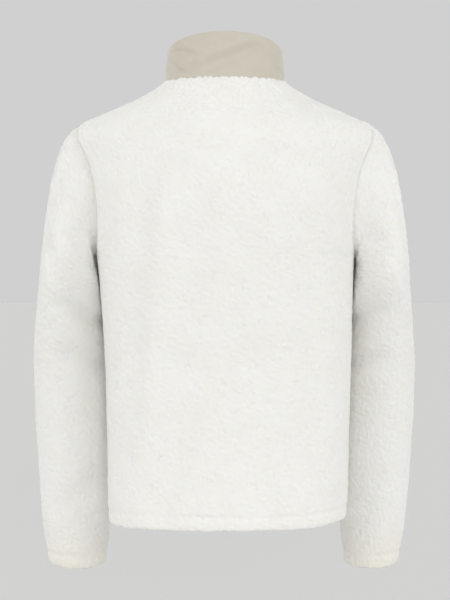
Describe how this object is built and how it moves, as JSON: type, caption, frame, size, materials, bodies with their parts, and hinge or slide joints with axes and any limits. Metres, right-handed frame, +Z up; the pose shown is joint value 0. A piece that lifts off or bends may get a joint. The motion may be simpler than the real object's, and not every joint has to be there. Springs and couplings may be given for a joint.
{
  "type": "sherpa jacket",
  "caption": "Hip-length jacket of curly sherpa fleece with a smooth woven stand collar, long set-in sleeves, turned hem and cuffs, and a front zip; worn shape with no wearer.",
  "frame": {"origin": "middle of the neck opening, level with the tops of the two shoulder seams, where the garment hangs from the wearer", "axes": "+Z up, the front faces -Y, +X is the wearer's left"},
  "size_m": [0.5933, 0.2652, 0.8275],
  "materials": {
    "sherpa": "curly pile, off-white",
    "collar_shell": "smooth plain weave, light taupe",
    "zip_tape": "woven tape with a coil chain, taupe",
    "zip_metal": "satin taupe"
  },
  "bodies": {
    "jacket": {"back": "sherpa", "front_left": "sherpa", "front_right": "sherpa", "sleeve_left": "sherpa", "sleeve_right": "sherpa", "collar": "collar_shell", "zip_side_left": "zip_tape", "zip_side_right": "zip_tape", "zip_retainer_box": "zip_metal", "zip_slider": "zip_metal"},
    "pull": {"zip_pull": "zip_metal"}
  },
  "joints": [
    {"name": "zip_pull_hinge", "type": "hinge", "parent": "jacket", "child": "pull", "pos_m": [0, -0.0832, 0.00104], "axis": [-1, 0, 0], "range_deg": [0, 170]}
  ]
}
